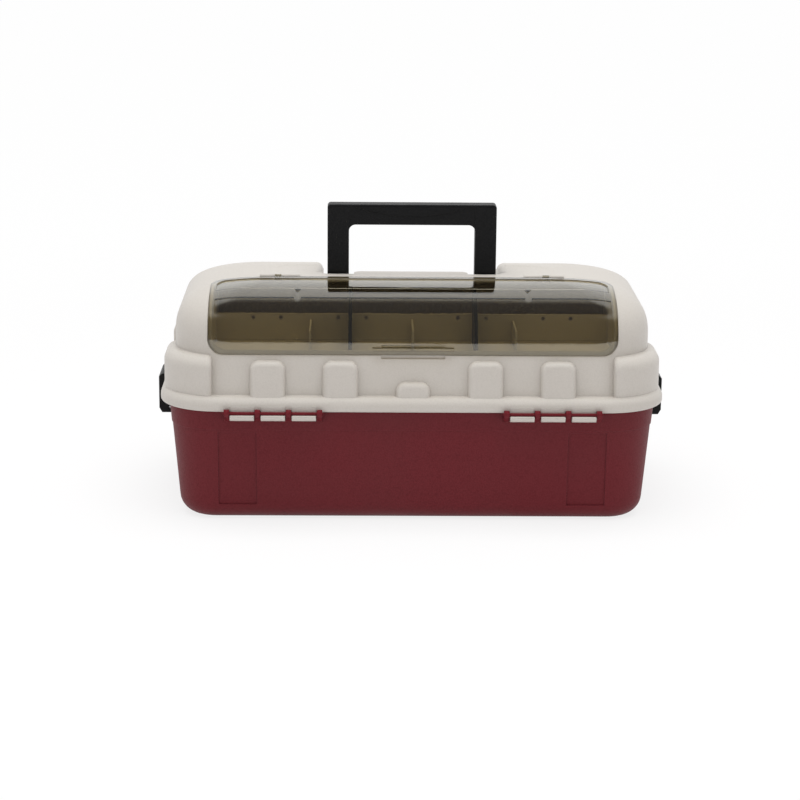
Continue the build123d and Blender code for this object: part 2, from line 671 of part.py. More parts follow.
def window_cover():
    """Clear cover flush with the dome, with a raised border, lip and ridge, hinge eyes and a finger tab."""
    pane = window_region(SIDE_PLAY)
    cover = pane & (dome(0) - dome(COVER_WALL))
    raised = pane - window_region(SIDE_PLAY + COVER_BORDER)
    raised += pane & slab((-FAR, FAR), (-FAR, 0), (0, WINDOW_BOTTOM + COVER_LIP))
    raised += pane & slab((-FAR, FAR), (RIDGE_FRONT, RIDGE_FRONT + RIDGE_WIDTH), (0, FAR))
    cover += raised & (dome(-COVER_BORDER_PROUD) - dome(COVER_WALL / 2))
    cover -= cover_grooves()
    tab_low = WINDOW_BOTTOM + TAB_LIFT
    tab_y = (-DOME_DEPTH / 2 - TAB_PROUD, -DOME_DEPTH / 2 + COVER_WALL)
    tab = slab((-TAB_HALF, TAB_HALF), tab_y, (tab_low, tab_low + TAB_HEIGHT))
    front_corners = tab.edges().filter_by(Axis.Z).group_by(Axis.Y)[0]
    cover += fillet(front_corners, TAB_PROUD / 2)
    slot_z = (tab_low + TAB_HEIGHT, tab_low + TAB_HEIGHT + TAB_SLOT_HEIGHT)
    cover -= slab((-TAB_SLOT_HALF, TAB_SLOT_HALF), (-FAR, 0), slot_z)
    x = (EYE_PLACE - EYE_WIDTH / 2, EYE_PLACE + EYE_WIDTH / 2)
    arm_y = (WINDOW_BACK - COVER_BORDER, COVER_AXIS_Y)
    eye = rod_x(BEAD_RADIUS, x, COVER_AXIS_Y, COVER_AXIS_Z)
    eye += slab(x, arm_y, (COVER_AXIS_Z - BEAD_RADIUS, COVER_AXIS_Z))
    cover += both_ends(eye)
    return cover - rod_x(COVER_PIN_RADIUS + RUNNING_FIT, (-FAR, FAR), COVER_AXIS_Y, COVER_AXIS_Z)


def cover_pins():
    """Wire pins in the beads."""
    return both_ends(rod_x(COVER_PIN_RADIUS, (BEAD_INNER, BEAD_OUTER), COVER_AXIS_Y, COVER_AXIS_Z))


def bay_divider(place, wall, top):
    """Upright divider across the bay, shaped to the slope in front."""
    x = (place - wall / 2, place + wall / 2)
    return slab(x, (-FAR, BAY_BACK), (BAY_FLOOR, top)) & dome(COVER_SEAT + LEDGE_WALL)


def low_dividers():
    """Thin cream dividers that stop below the top of the middle wall."""
    places = [BAY_HALF * share for share in LOW_DIVIDER_SHARES]
    return Part() + [bay_divider(place, DIVIDER_WALL, LOW_DIVIDER_TOP) for place in places]


def tall_dividers():
    """Black dividers that reach up to the cover."""
    places = [BAY_HALF * share for share in TALL_DIVIDER_SHARES]
    return Part() + [bay_divider(place, TALL_DIVIDER_WALL, CROWN_TOP) for place in places]


# Handle


def handle():
    """Black D-shaped handle, with a shallow curved relief on both faces of its bar."""
    half_thick = HANDLE_THICK / 2
    inner_half = HANDLE_HALF - HANDLE_LEG
    height = HANDLE_TOP - HANDLE_AXIS_Z
    gap_height = height - HANDLE_BAR
    face = Plane(origin=(0, HANDLE_AXIS_Y + half_thick, HANDLE_AXIS_Z), x_dir=(1, 0, 0), z_dir=(0, -1, 0))
    outer = RectangleRounded(2 * HANDLE_HALF, 2 * height, HANDLE_CORNER)
    inner = RectangleRounded(2 * inner_half, 2 * gap_height, HANDLE_INNER_CORNER)
    bow = extrude(face * (outer - inner), HANDLE_THICK)
    bow = fillet(bow.faces().filter_by(Axis.Y).sort_by(Axis.Y)[0].edges(), HANDLE_EDGE)
    bow = fillet(bow.faces().filter_by(Axis.Y).sort_by(Axis.Y)[-1].edges(), HANDLE_EDGE)
    bow &= slab((-FAR, FAR), (-FAR, FAR), (HANDLE_AXIS_Z, FAR))
    for side in (-1, 1):
        leg = (side * HANDLE_HALF, side * inner_half)
        bow += rod_x(half_thick, (min(leg), max(leg)), HANDLE_AXIS_Y, HANDLE_AXIS_Z)
    sag = HANDLE_RELIEF_SAG
    arc = (inner_half**2 + sag**2) / (2 * sag)
    bar = slab((-inner_half, inner_half), (-FAR, FAR), (HANDLE_TOP - HANDLE_BAR - OVERRUN, FAR))
    bar -= rod_y(arc, (-FAR, FAR), 0, HANDLE_TOP - sag + arc)
    core = half_thick - HANDLE_RELIEF
    bar -= slab((-FAR, FAR), (HANDLE_AXIS_Y - core, HANDLE_AXIS_Y + core), (0, FAR))
    bow -= bar
    return bow - rod_x(HANDLE_PIN_RADIUS + RUNNING_FIT, (-FAR, FAR), HANDLE_AXIS_Y, HANDLE_AXIS_Z)


def handle_pins():
    """Pins from the recess bosses into the handle's legs."""
    x = (HANDLE_HALF - HANDLE_PIN_BITE, HANDLE_PIN_END)
    return both_ends(rod_x(HANDLE_PIN_RADIUS, x, HANDLE_AXIS_Y, HANDLE_AXIS_Z))


# Latches


def latch():
    """Latch at the +X end, pinned to the base and standing up outside the rim."""
    inner = RIM_LENGTH / 2 + LATCH_GAP
    outer = inner + LATCH_PLATE
    nib = RIM_LENGTH / 2 + LATCH_NIB_GAP
    top = RIM_TOP - LATCH_TOP_DROP
    foot = LATCH_PIVOT_Z - LATCH_BARREL
    half = LATCH_WIDTH / 2
    outline = [
        (LATCH_PIVOT_X, foot),
        (outer - LATCH_CHAMFER, foot),
        (outer, foot + LATCH_BARREL),
        (outer, top - LATCH_CHAMFER),
        (outer - LATCH_CHAMFER, top),
        (nib, top),
        (nib, top - LATCH_NIB_HEIGHT),
        (inner, top - LATCH_NIB_HEIGHT - LATCH_NIB_SLOPE),
        (inner, RIM_BOTTOM - LATCH_WEB_DROP),
        (LATCH_PIVOT_X, LATCH_PIVOT_Z + LATCH_BARREL),
    ]
    profile = make_face(Polyline(*[(x, -half, z) for x, z in outline], close=True))
    plate = extrude(profile, LATCH_WIDTH, dir=(0, 1, 0))
    plate += rod_y(LATCH_BARREL, (-half, half), LATCH_PIVOT_X, LATCH_PIVOT_Z)
    clear = LATCH_BARREL + SIDE_PLAY
    lug_half = LUG_WIDTH / 2 + SIDE_PLAY
    plate -= slab((0, LATCH_PIVOT_X + clear), (-lug_half, lug_half), (0, LATCH_PIVOT_Z + clear))
    return plate - rod_y(LATCH_PIN_RADIUS + RUNNING_FIT, (-FAR, FAR), LATCH_PIVOT_X, LATCH_PIVOT_Z)


def latch_pins():
    """Pins through the latches and their lugs."""
    half = LATCH_PIN_LENGTH / 2
    return both_ends(rod_y(LATCH_PIN_RADIUS, (-half, half), LATCH_PIVOT_X, LATCH_PIVOT_Z))


# Trays and their linkage


def tray_block(middle, inset, low):
    """Block with the tray's drafted outside, drawn in by an inset."""
    draw = inset + (TRAY_TOP - low) * math.tan(math.radians(TRAY_DRAFT))
    plan = RectangleRounded(2 * TRAY_HALF - 2 * draw, TRAY_DEPTH - 2 * draw, TRAY_CORNER - draw)
    return extrude(Pos(0, middle, low) * plan, TRAY_TOP - low, taper=-TRAY_DRAFT)


def divider_places():
    """Places of a tray's dividers along X."""
    return [2 * TRAY_HALF * share for share in TRAY_DIVIDER_SHARES]


def guide_ribs(middle):
    """Paired ribs on the long walls that hold the dividers upright."""
    ribs = Part()
    reach = DIVIDER_WALL / 2 + SEAT_GAP
    y = (middle - TRAY_DEPTH, middle + TRAY_DEPTH)
    z = (TRAY_FLOOR, TRAY_TOP - TRAY_DIVIDER_DROP)
    for place in divider_places():
        for side in (-1, 1):
            near = place + side * reach
            far = near + side * GUIDE_RIB
            ribs += slab((min(near, far), max(near, far)), y, z)
    liner = tray_block(middle, TRAY_WALL / 2, TRAY_FLOOR)
    return (ribs & liner) - tray_block(middle, TRAY_WALL + GUIDE_RIB, TRAY_FLOOR - OVERRUN)


def tray(middle, pins):
    """Open tray with pivot bosses on both ends."""
    body = tray_block(middle, 0, TRAY_FLOOR) - tray_block(middle, TRAY_WALL, TRAY_FLOOR + TRAY_WALL)
    body += guide_ribs(middle)
    for pin in pins:
        body += both_ends(rod_x(TRAY_BOSS_RADIUS, (TRAY_FACE - TRAY_BOSS_DEPTH, TRAY_FACE), *pin))
    for pin in pins:
        body -= rod_x(LINK_PIN_RADIUS + RUNNING_FIT, (-FAR, FAR), *pin)
    return body


def tray_dividers(middle):
    """Loose dividers that drop between the guide ribs."""
    space = tray_block(middle, TRAY_WALL + SEAT_GAP, TRAY_FLOOR + TRAY_WALL)
    group = Part()
    for place in divider_places():
        x = (place - DIVIDER_WALL / 2, place + DIVIDER_WALL / 2)
        group += slab(x, (-FAR, FAR), (0, TRAY_TOP - TRAY_DIVIDER_DROP)) & space
    return group


def link_bar(start, end, width, x):
    """Round-ended flat bar between two pivots."""
    run = (end[0] - start[0], end[1] - start[1])
    length = math.hypot(*run)
    face = Plane(
        origin=(x[0], (start[0] + end[0]) / 2, (start[1] + end[1]) / 2),
        x_dir=(0, run[0] / length, run[1] / length),
        z_dir=(1, 0, 0),
    )
    return extrude(face * SlotCenterToCenter(length, width), x[1] - x[0])


def swing_arm():
    """Arm at the +X end, from the base's anchor to both trays."""
    x = (ARM_INNER, ARM_OUTER)
    bar = link_bar(ANCHOR, REAR_ARM_PIN, ARM_WIDTH, x)
    bar -= rod_x(ANCHOR_RADIUS + RUNNING_FIT, (0, FAR), *ANCHOR)
    for pin in (FRONT_ARM_PIN, REAR_ARM_PIN):
        bar -= rod_x(LINK_PIN_RADIUS, (0, FAR), *pin)
    return bar


def arm_pins():
    """Pins at the +X end, fixed in the arm, that keep both trays level."""
    x = (TRAY_FACE - LINK_PIN_BITE, ARM_OUTER)
    return rod_x(LINK_PIN_RADIUS, x, *FRONT_ARM_PIN) + rod_x(LINK_PIN_RADIUS, x, *REAR_ARM_PIN)


def hanger():
    """Hanger plate at the +X end of the lid that carries the trays' pins."""
    x = (HANGER_INNER, HANGER_OUTER)
    plate = link_bar(FRONT_PIN, REAR_PIN, HANGER_WIDTH, x)
    y = (HANGER_SCREWS[0] - HANGER_WIDTH / 2, HANGER_SCREWS[1] + HANGER_WIDTH / 2)
    plate += slab(x, y, ((FRONT_PIN[1] + REAR_PIN[1]) / 2, HANGER_TOP))
    for pin in (FRONT_PIN, REAR_PIN):
        plate -= rod_x(LINK_PIN_RADIUS, (0, FAR), *pin)
    for place in HANGER_SCREWS:
        plate -= rod_x(SCREW_RADIUS, (0, FAR), place, HANGER_SCREW_Z)
    return plate


def hanger_pins():
    """Pins fixed in both hangers that the trays turn on."""
    x = (TRAY_FACE - LINK_PIN_BITE, HANGER_OUTER)
    return both_ends(rod_x(LINK_PIN_RADIUS, x, *FRONT_PIN) + rod_x(LINK_PIN_RADIUS, x, *REAR_PIN))


def hanger_screws():
    """Screws through the hangers into the lid's bosses."""
    group = Part()
    shank = (HANGER_INNER, HANGER_OUTER + SCREW_BITE)
    head = (HANGER_INNER - SCREW_HEAD, HANGER_INNER)
    for place in HANGER_SCREWS:
        screw = rod_x(SCREW_RADIUS, shank, place, HANGER_SCREW_Z)
        group += screw + rod_x(SCREW_HEAD_RADIUS, head, place, HANGER_SCREW_Z)
    return both_ends(group)


def anchor_pins():
    """Pins in the base that the arms turn on."""
    return both_ends(rod_x(ANCHOR_RADIUS, (ARM_INNER, ARM_OUTER + ANCHOR_BITE), *ANCHOR))


def pieces():
    """Every named piece of the box."""
    right_arm = swing_arm()
    right_arm_pins = arm_pins()
    right_hanger = hanger()
    right_latch = latch()
    return {
        "base_tub": base_tub(),
        "hinge_rod_left": hinge_rod(-1),
        "hinge_rod_right": hinge_rod(1),
        "lid_shell": lid_shell(),
        "window_cover": window_cover(),
        "cover_pins": cover_pins(),
        "bay_dividers_low": low_dividers(),
        "bay_dividers_tall": tall_dividers(),
        "carry_handle": handle(),
        "handle_pins": handle_pins(),
        "latch_right": right_latch,
        "latch_left": mirror(right_latch, about=Plane.YZ),
        "latch_pins": latch_pins(),
        "front_tray": tray(FRONT_TRAY_MIDDLE, (FRONT_PIN, FRONT_ARM_PIN)),
        "front_tray_dividers": tray_dividers(FRONT_TRAY_MIDDLE),
        "rear_tray": tray(REAR_TRAY_MIDDLE, (REAR_PIN, REAR_ARM_PIN)),
        "rear_tray_dividers": tray_dividers(REAR_TRAY_MIDDLE),
        "swing_arm_right": right_arm,
        "swing_arm_left": mirror(right_arm, about=Plane.YZ),
        "arm_pins_right": right_arm_pins,
        "arm_pins_left": mirror(right_arm_pins, about=Plane.YZ),
        "hanger_right": right_hanger,
        "hanger_left": mirror(right_hanger, about=Plane.YZ),
        "hanger_pins": hanger_pins(),
        "hanger_screws": hanger_screws(),
        "anchor_pins": anchor_pins(),
    }


os.makedirs("parts", exist_ok=True)
for name, piece in pieces().items():
    export_step(piece, f"parts/{name}.step")
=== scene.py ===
"""Studio dressing for the tackle box: a finish for every piece, a pale stage, soft light and a camera.

Lengths are metres, in the part's own frame: X runs along the box, the hinge side faces -Y and Z is up.
"""
import math

import bpy
from bpy.props import FloatProperty, FloatVectorProperty, PointerProperty
from mathutils import Matrix, Vector


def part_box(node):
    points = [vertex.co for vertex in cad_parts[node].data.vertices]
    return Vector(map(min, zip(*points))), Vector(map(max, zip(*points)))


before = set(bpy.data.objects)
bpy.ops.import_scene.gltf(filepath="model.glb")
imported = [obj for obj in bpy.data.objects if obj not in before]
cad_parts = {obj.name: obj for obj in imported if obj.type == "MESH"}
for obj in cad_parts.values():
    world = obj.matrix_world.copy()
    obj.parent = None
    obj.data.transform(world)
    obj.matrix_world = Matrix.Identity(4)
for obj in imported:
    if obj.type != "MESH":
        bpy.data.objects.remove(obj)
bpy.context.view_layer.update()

bl_info = {
    "name": "Tackle Box Studio",
    "version": (1, 0, 0),
    "blender": (4, 5, 0),
    "location": "View3D > Sidebar > Tackle Box",
    "description": "Gives the tackle box its moulded finishes and sets up a pale studio round it",
    "category": "Object",
}

MILLIMETRE = 0.001
WHITE = (1.0, 1.0, 1.0, 1.0)

# Sockets of a Mix node that blends colours
MIX_SHARE, MIX_FIRST, MIX_SECOND, MIX_RESULT = 0, 6, 7, 2

# Noise levels between which blotches and haze rise from none to full
CLOUD_LIMITS = (0.3, 0.7)
HAZE_LIMITS = (0.55, 0.8)
MIDDLE_LEVEL = 0.5
FINE_DETAIL = 3.0
COARSE_DETAIL = 2.0

# How far a soft normal has turned where the lighter edge, partly wear and partly painted highlight,
# starts and where it is full
EDGE_LIMITS = (0.02, 0.25)
EDGE_SAMPLES = 6

# How far each pattern moves the roughness
CLOUD_ROUGHNESS = 0.1
GRAIN_ROUGHNESS = 0.12
HAZE_ROUGHNESS = 0.03
MARK_ROUGHNESS = 0.2

# Draw marks run along X
MARK_STRETCH = (0.05, 1.0, 1.0)

# Where the bay's painted shade starts and stops, from the pieces round it
BAY_SOFT = 0.5 * MILLIMETRE
BAY_WALL = 2.6 * MILLIMETRE
BAY_END_INSET = 5 * MILLIMETRE
BAY_FLOOR_MARGIN = 0.2 * MILLIMETRE
BAY_TOP_MARGIN = 1.5 * MILLIMETRE
BAY_BACK_INSET = 4.5 * MILLIMETRE

# Room directions between which the sweep turns dim
OVERHEAD_LIMITS = (0.88, 0.95)
FRONT_LIMITS = (0.1, 0.4)

FLOOR_ROUGHNESS = 0.9
FAR_FLOOR_RATIO = 3
SENSOR_WIDTH = 36.0

TUB_NODES = ("base_tub", "hinge_rod_left", "hinge_rod_right")
TRAY_NODES = ("front_tray", "rear_tray")
TRAY_DIVIDER_NODES = ("front_tray_dividers", "rear_tray_dividers")
LATCH_NODES = ("latch_left", "latch_right")
LINK_NODES = ("swing_arm_left", "swing_arm_right", "hanger_left", "hanger_right")
STEEL_NODES = (
    "cover_pins",
    "handle_pins",
    "latch_pins",
    "arm_pins_left",
    "arm_pins_right",
    "hanger_pins",
    "hanger_screws",
    "anchor_pins",
)


# Shader maths


class Value:
    """A number that varies over a surface and works in ordinary sums."""

    def __init__(self, finish, socket):
        self.finish = finish
        self.socket = socket

    def maths(self, operation, first, second):
        """Math node on two numbers."""
        return self.finish.add("ShaderNodeMath", {"operation": operation}, {0: first, 1: second})

    def __add__(self, other):
        return self.maths("ADD", self, other)

    def __sub__(self, other):
        return self.maths("SUBTRACT", self, other)

    def __rsub__(self, other):
        return self.maths("SUBTRACT", other, self)

    def __mul__(self, other):
        return self.maths("MULTIPLY", self, other)

    __radd__ = __add__
    __rmul__ = __mul__


class Finish:
    """A material, or the world, whose nodes are added one by one."""

    def __init__(self, owner):
        owner.use_nodes = True
        self.owner = owner
        self.tree = owner.node_tree
        self.tree.nodes.clear()

    def add(self, kind, settings=None, inputs=None, output=0):
        """Adds a node, sets it up, fills its sockets and hands back one of its outputs."""
        node = self.tree.nodes.new(kind)
        for name, value in (settings or {}).items():
            setattr(node, name, value)
        for name, value in (inputs or {}).items():
            if isinstance(value, Value):
                self.tree.links.new(value.socket, node.inputs[name])
            else:
                node.inputs[name].default_value = value
        return Value(self, node.outputs[output]) if node.outputs else node

    def place(self):
        """Position on the piece, in metres."""
        return self.add("ShaderNodeTexCoord", output="Object")

    def along(self, place, axis):
        """Position along one axis."""
        return self.add("ShaderNodeSeparateXYZ", {}, {"Vector": place}, output=axis)

    def noise(self, place, size, detail=FINE_DETAIL, stretch=(1.0, 1.0, 1.0)):
        """Soft noise whose blotches are about one size across."""
        place = self.add("ShaderNodeMapping", {}, {"Vector": place, "Scale": stretch})
        return self.add("ShaderNodeTexNoise", {}, {"Vector": place, "Scale": 1 / size, "Detail": detail})

    def pebbles(self, place, size):
        """Distance from the middles of scattered cells, for a pebbled grain."""
        return self.add("ShaderNodeTexVoronoi", {}, {"Vector": place, "Scale": 1 / size})

    def blend(self, share, first, second):
        """Colour between two colours."""
        sockets = {MIX_SHARE: share, MIX_FIRST: first, MIX_SECOND: second}
        return self.add("ShaderNodeMix", {"data_type": "RGBA"}, sockets, output=MIX_RESULT)

    def rise(self, value, low, high):
        """Share that rises smoothly from 0 at a low limit to 1 at a high one."""
        sockets = {"Value": value, "From Min": low, "From Max": high}
        return self.add("ShaderNodeMapRange", {"interpolation_type": "SMOOTHSTEP"}, sockets)

    def soft_normal(self, radius):
        """Normal that turns smoothly over edges."""
        return self.add("ShaderNodeBevel", {"samples": EDGE_SAMPLES}, {"Radius": radius})

    def edges(self, radius):
        """Share that is 1 along sharp edges and 0 on open faces."""
        plain = self.add("ShaderNodeNewGeometry", output="Normal")
        sockets = {0: self.soft_normal(radius), 1: plain}
        facing = self.add("ShaderNodeVectorMath", {"operation": "DOT_PRODUCT"}, sockets, output="Value")
        return self.rise(1 - facing, *EDGE_LIMITS)

    def bump(self, height, depth, normal):
        """Normal that follows a height."""
        return self.add("ShaderNodeBump", {}, {"Height": height, "Distance": depth, "Normal": normal})

    def surface(self, shader):
        """Ends a material or a world in a shader."""
        is_world = isinstance(self.owner, bpy.types.World)
        kind = "ShaderNodeOutputWorld" if is_world else "ShaderNodeOutputMaterial"
        self.add(kind, {}, {"Surface": shader})
        return self.owner


def rgba(colour):
    """Colour with full cover."""
    return (*colour, 1.0)


def new_finish(name):
    """Empty material."""
    return Finish(bpy.data.materials.new(name))


def dress(nodes, material):
    """Gives CAD nodes one material."""
    for name in nodes:
        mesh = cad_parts[name].data
        mesh.materials.clear()
        mesh.materials.append(material)


# Settings


def length(name, description, millimetres):
    """Length setting, given in millimetres and kept in metres."""
    default = millimetres * MILLIMETRE
    return FloatProperty(name=name, description=description, default=default, precision=5, unit="LENGTH")


def colour(name, description, value):
    """Colour setting, as linear light."""
    limits = {"size": 3, "min": 0.0, "max": 1.0, "subtype": "COLOR"}
    return FloatVectorProperty(name=name, description=description, default=value, **limits)


def share(name, description, value):
    """Share setting from 0 to 1."""
    limits = {"min": 0.0, "max": 1.0, "subtype": "FACTOR"}
    return FloatProperty(name=name, description=description, default=value, **limits)


def angle(name, description, degrees):
    """Angle setting, given in degrees."""
    default = math.radians(degrees)
    return FloatProperty(name=name, description=description, default=default, subtype="ANGLE")


def amount(name, description, value):
    """Plain number setting."""
    return FloatProperty(name=name, description=description, default=value, min=0.0)


class MouldedLook:
    """What every moulded plastic has."""

    cloud_size: length("Cloud size", "Width of the faint blotches", 90.0)
    pebble_size: length("Pebble size", "Width of the pebbled grain", 1.5)
    pebble_depth: length("Pebble depth", "Depth of the pebbled grain", 0.06)
    speckle: share("Speckle", "How far the grain darkens the colour", 0.5)
    edge_radius: length("Edge softness", "Radius over which sharp edges turn", 0.9)


class TACKLE_PG_tub(MouldedLook, bpy.types.PropertyGroup):
    """Burgundy tub"""

    light: colour("Burgundy", "Tub colour", (0.158, 0.0105, 0.0170))
    dark: colour("Shade", "Tub colour in its faint blotches", (0.146, 0.0090, 0.0145))
    edge_wear_and_highlight: colour("Worn edge", "Tub colour along its edges", (0.20, 0.030, 0.040))
    hollow: colour("Grain hollow", "Tub colour in the hollows of the grain", (0.085, 0.0035, 0.0065))
    wear_and_highlight_strength: share("Wear", "How strongly the edges show", 0.5)
    roughness: share("Roughness", "How matt the tub is", 0.55)
    gloss: share("Gloss", "Strength of its reflections", 0.28)


class TACKLE_PG_lid(MouldedLook, bpy.types.PropertyGroup):
    """Cream lid"""

    light: colour("Cream", "Lid colour", (0.605, 0.568, 0.522))
    dark: colour("Shade", "Lid colour in its faint blotches", (0.590, 0.553, 0.506))
    edge_wear_and_highlight: colour("Worn edge", "Lid colour along its edges", (0.66, 0.63, 0.59))
    hollow: colour("Grain hollow", "Lid colour in the hollows of the grain", (0.52, 0.485, 0.44))
    wear_and_highlight_strength: share("Wear", "How strongly the edges show", 0.5)
    roughness: share("Roughness", "How matt the lid is", 0.42)
    gloss: share("Gloss", "Strength of its reflections", 0.45)
    # Painted shade: the bay under the window and the space behind its middle wall, darker where shade
    # falls
    bay: colour("Bay", "Colour of the bay under the window", (0.54, 0.495, 0.39))
    bay_back_painted_shade: colour("Bay back", "Colour behind the bay's middle wall", (0.24, 0.20, 0.145))


class TACKLE_PG_black(MouldedLook, bpy.types.PropertyGroup):
    """Black handle, latches and tall dividers"""

    light: colour("Black", "Colour of the black pieces", (0.0100, 0.0100, 0.0104))
    dark: colour("Shade", "Colour in the faint blotches", (0.0078, 0.0078, 0.0082))
    edge_wear_and_highlight: colour("Worn edge", "Colour along the edges", (0.035, 0.035, 0.036))
    hollow: colour("Grain hollow", "Colour in the hollows of the grain", (0.004, 0.004, 0.0042))
    wear_and_highlight_strength: share("Wear", "How strongly the edges show", 0.6)
    roughness: share("Roughness", "How matt the black pieces are", 0.45)
    gloss: share("Gloss", "Strength of their reflections", 0.18)


class TACKLE_PG_trays(MouldedLook, bpy.types.PropertyGroup):
    """Trays and their dividers"""

    light: colour("Tray", "Tray colour", (0.56, 0.53, 0.485))
    dark: colour("Shade", "Tray colour in its faint blotches", (0.52, 0.49, 0.445))
    edge_wear_and_highlight: colour("Worn edge", "Tray colour along its edges", (0.65, 0.62, 0.58))
    hollow: colour("Grain hollow", "Tray colour in the hollows of the grain", (0.50, 0.47, 0.425))
    wear_and_highlight_strength: share("Wear", "How strongly the edges show", 0.5)
    roughness: share("Roughness", "How matt the trays are", 0.4)
    gloss: share("Gloss", "Strength of their reflections", 0.5)
    divider_light: colour("Divider", "Divider colour", (0.62, 0.60, 0.56))
    divider_dark: colour("Divider shade", "Divider colour in its faint blotches", (0.57, 0.55, 0.51))


class TACKLE_PG_window(bpy.types.PropertyGroup):
    """Smoky clear cover"""

    tint: colour("Tint", "What each face of the cover lets through", (0.70, 0.64, 0.475))
    bend: amount("Refraction", "Index of refraction", 1.58)
    haze_size: length("Haze size", "Width of the wiped haze", 22.0)
    roughness: share("Roughness", "How blurred the cover's reflections are", 0.02)


class TACKLE_PG_steel(bpy.types.PropertyGroup):
    """Pins and screws"""

    light: colour("Bright steel", "Colour between the draw marks", (0.62, 0.62, 0.63))
    dark: colour("Dark steel", "Colour in the draw marks", (0.36, 0.36, 0.37))
    mark_size: length("Mark size", "Width of the draw marks", 0.4)
    mark_depth: length("Mark depth", "Depth of the draw marks", 0.01)
    edge_radius: length("Edge softness", "Radius over which sharp edges turn", 0.2)
    roughness: share("Roughness", "How dull the steel is", 0.32)


class TACKLE_PG_stage(bpy.types.PropertyGroup):
    """Floor, light and camera"""

    floor_size: length("Floor size", "Width of the floor", 24000.0)
    floor_light: colour("Floor", "Colour of the floor", (0.93, 0.915, 0.918))
    floor_dark: colour("Floor shade", "Floor colour in its faint blotches", (0.90, 0.885, 0.888))
    floor_blotch: length("Floor blotch", "Width of the floor's faint blotches", 2400.0)
    floor_glow: share("Floor glow", "How far the floor by the box shows as plain white", 0.8)
    far_glow: share("Far glow", "How far the floor shows as plain white away from the box", 0.98)
    near_floor: length("Near floor", "How far the shadow's floor reaches from the middle", 450.0)
    sky: amount("Sky", "Brightness of the room", 0.58)
    dim_room: colour("Dim room", "What the ceiling and the camera's side show", (0.12, 0.12, 0.13))
    lamp_power: amount("Lamp power", "Watts of the top lamp", 52.0)
    lamp_size: length("Lamp size", "Width of the top lamp", 2400.0)
    lamp_height: length("Lamp height", "Height of the top lamp", 2600.0)
    lamp_forward: length("Lamp forward", "How far the top lamp stands in front", 300.0)
    camera_distance: length("Camera distance", "Level distance from the middle of the box", 2125.0)
    camera_height: length("Camera height", "Height over the floor", 612.0)
    camera_aside: length("Camera aside", "Sideways place of the camera", -9.4)
    pitch: angle("Pitch", "How far the camera looks down", 13.946)
    yaw: angle("Yaw", "Turn of the camera round the box", 1.0)
    roll: angle("Roll", "Tilt of the picture", 0.49)
    lens: amount("Lens", "Focal length in millimetres", 105.885)


class TACKLE_PG_settings(bpy.types.PropertyGroup):
    """Everything a user would change"""

    tub: PointerProperty(type=TACKLE_PG_tub)
    lid: PointerProperty(type=TACKLE_PG_lid)
    black: PointerProperty(type=TACKLE_PG_black)
    trays: PointerProperty(type=TACKLE_PG_trays)
    window: PointerProperty(type=TACKLE_PG_window)
    steel: PointerProperty(type=TACKLE_PG_steel)
    stage: PointerProperty(type=TACKLE_PG_stage)


# Finishes


def moulded_plastic(name, look, light, dark, tone=None):
    """Moulded plastic: faint clouds, a pebbled grain, soft edges and a lighter colour along them, partly
    wear and partly painted highlight.
    """
    finish = new_finish(name)
    place = finish.place()
    cloud = finish.rise(finish.noise(place, look.cloud_size), *CLOUD_LIMITS)
    grain = finish.pebbles(place, look.pebble_size)
    cloud_change = CLOUD_ROUGHNESS * (cloud - MIDDLE_LEVEL)
    grain_change = GRAIN_ROUGHNESS * (grain - MIDDLE_LEVEL)
    shade = finish.blend(cloud, rgba(dark), rgba(light))
    # A tone may paint shade into the colour, as the lid's bay does
    if tone is not None:
        shade = tone(finish, place, shade)
    # Edges painted lighter: partly wear, partly a painted highlight along them
    shade = finish.blend(finish.edges(look.edge_radius) * look.wear_and_highlight_strength, shade, rgba(look.edge_wear_and_highlight))
    shade = finish.blend(grain * look.speckle, shade, rgba(look.hollow))
    normal = finish.bump(grain, look.pebble_depth, finish.soft_normal(look.edge_radius))
    sockets = {
        "Base Color": shade,
        "Roughness": look.roughness + cloud_change + grain_change,
        "Normal": normal,
        "Specular IOR Level": look.gloss,
    }
    return finish.surface(finish.add("ShaderNodeBsdfPrincipled", {}, sockets))


def within(finish, value, low, high):
    """Share that is 1 between two limits and fades just outside them."""
    above = finish.rise(value, low - BAY_SOFT, low)
    return above * (1 - finish.rise(value, high, high + BAY_SOFT))


def bay_painted_shade(finish, place, shade):
    """Painted shade: the bay under the window painted darker where shade falls, darkest behind its
    middle wall.
    """
    look = bpy.context.scene.tackle_box.lid
    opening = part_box("bay_dividers_tall")
    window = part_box("window_cover")
    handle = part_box("carry_handle")
    wall_back = opening[1][1] + BAY_WALL
    x = finish.along(place, "X")
    y = finish.along(place, "Y")
    z = finish.along(place, "Z")
    across = within(finish, x, window[0][0] + BAY_END_INSET, window[1][0] - BAY_END_INSET)
    up = within(finish, z, opening[0][2] - BAY_FLOOR_MARGIN, opening[1][2] + BAY_TOP_MARGIN)
    inside = across * up * within(finish, y, opening[0][1], wall_back - BAY_SOFT)
    behind = across * up * within(finish, y, wall_back, handle[0][1] - BAY_BACK_INSET)
    # Paints shade into the lid's colour inside the bay and, darker still, behind its middle wall
    shade = finish.blend(inside, shade, rgba(look.bay))
    return finish.blend(behind, shade, rgba(look.bay_back_painted_shade))


def smoky_clear(look):
    """Tinted clear plastic that bends light and lets the lamps through."""
    finish = new_finish("smoky_clear")
    haze = finish.rise(finish.noise(finish.place(), look.haze_size), *HAZE_LIMITS)
    sockets = {
        "Base Color": rgba(look.tint),
        "Roughness": look.roughness + HAZE_ROUGHNESS * haze,
        "IOR": look.bend,
        "Transmission Weight": 1.0,
        "Coat Weight": 1.0,
        "Coat Roughness": look.roughness,
    }
    glass = finish.add("ShaderNodeBsdfPrincipled", {}, sockets)
    lamp = finish.add("ShaderNodeBsdfTransparent", {}, {"Color": rgba(look.tint)})
    shadow = finish.add("ShaderNodeLightPath", output="Is Shadow Ray")
    return finish.surface(finish.add("ShaderNodeMixShader", {}, {0: shadow, 1: glass, 2: lamp}))


